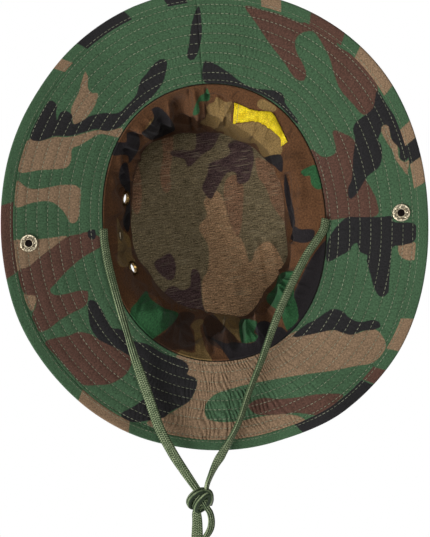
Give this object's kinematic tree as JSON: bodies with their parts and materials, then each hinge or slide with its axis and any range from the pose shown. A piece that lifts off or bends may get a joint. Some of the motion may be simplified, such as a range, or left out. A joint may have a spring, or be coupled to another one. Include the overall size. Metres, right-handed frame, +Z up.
{
  "type": "boonie hat",
  "caption": "Soft wide-brimmed field hat in woodland camouflage cloth, with a sweatband, vents, brim sides that fold up and snap to the crown, and a knotted chin cord.",
  "frame": {"origin": "on the floor under the middle of the head opening, the hat standing on its rim", "axes": "+Z up through the crown, +Y towards the back of the hat, +X towards the wearer's left"},
  "size_m": [0.304, 0.4234, 0.1148],
  "materials": {
    "camo_cloth": "printed woven cotton, matt",
    "crown_cloth": "printed woven cotton, matt, faded inside",
    "core_cloth": "stiffening cloth inside the brim",
    "binding_tape": "printed binding tape",
    "sweatband_cloth": "printed woven cotton band",
    "label_tape": "plain yellow woven tape",
    "loop_webbing": "printed webbing",
    "vent_brass": "dulled brass",
    "snap_metal": "antique brass plate",
    "cord_braid": "flat olive braid"
  },
  "bodies": {
    "hat": {"crown_top": "crown_cloth", "crown_side_left": "crown_cloth", "crown_side_right": "crown_cloth", "sweatband": "sweatband_cloth", "label": "label_tape", "foliage_band": "loop_webbing", "brim_lower_middle": "camo_cloth", "brim_core_middle": "core_cloth", "brim_upper_middle": "camo_cloth", "binding_front": "binding_tape", "binding_back": "binding_tape", "vent_left_back_eyelet": "vent_brass", "vent_left_back_washer": "vent_brass", "vent_left_front_eyelet": "vent_brass", "vent_left_front_washer": "vent_brass", "vent_right_back_eyelet": "vent_brass", "vent_right_back_washer": "vent_brass", "vent_right_front_eyelet": "vent_brass", "vent_right_front_washer": "vent_brass", "snap_left_socket": "snap_metal", "snap_right_socket": "snap_metal", "cord_left": "cord_braid", "cord_right": "cord_braid"},
    "left_flap": {"brim_lower_left": "camo_cloth", "brim_core_left": "core_cloth", "brim_upper_left": "camo_cloth", "binding_left": "binding_tape", "snap_left_stud": "snap_metal", "snap_left_ring": "snap_metal"},
    "right_flap": {"brim_lower_right": "camo_cloth", "brim_core_right": "core_cloth", "brim_upper_right": "camo_cloth", "binding_right": "binding_tape", "snap_right_stud": "snap_metal", "snap_right_ring": "snap_metal"},
    "knot": {"chin_knot": "cord_braid", "cord_tail_left": "cord_braid", "cord_tail_right": "cord_braid"}
  },
  "joints": [
    {"name": "left_brim_fold", "type": "hinge", "parent": "hat", "child": "left_flap", "pos_m": [0.088, 0, 0.01769], "axis": [0, -1, 0], "range_deg": [0, 110.5]},
    {"name": "right_brim_fold", "type": "hinge", "parent": "hat", "child": "right_flap", "pos_m": [-0.088, 0, 0.01769], "axis": [0, 1, 0], "range_deg": [0, 110.5]},
    {"name": "chin_knot_slide", "type": "slide", "parent": "hat", "child": "knot", "axis": [-0.1365, 0.9906, 0], "range_m": [0, 0.05], "deforming": ["cord_left", "cord_right"]}
  ]
}
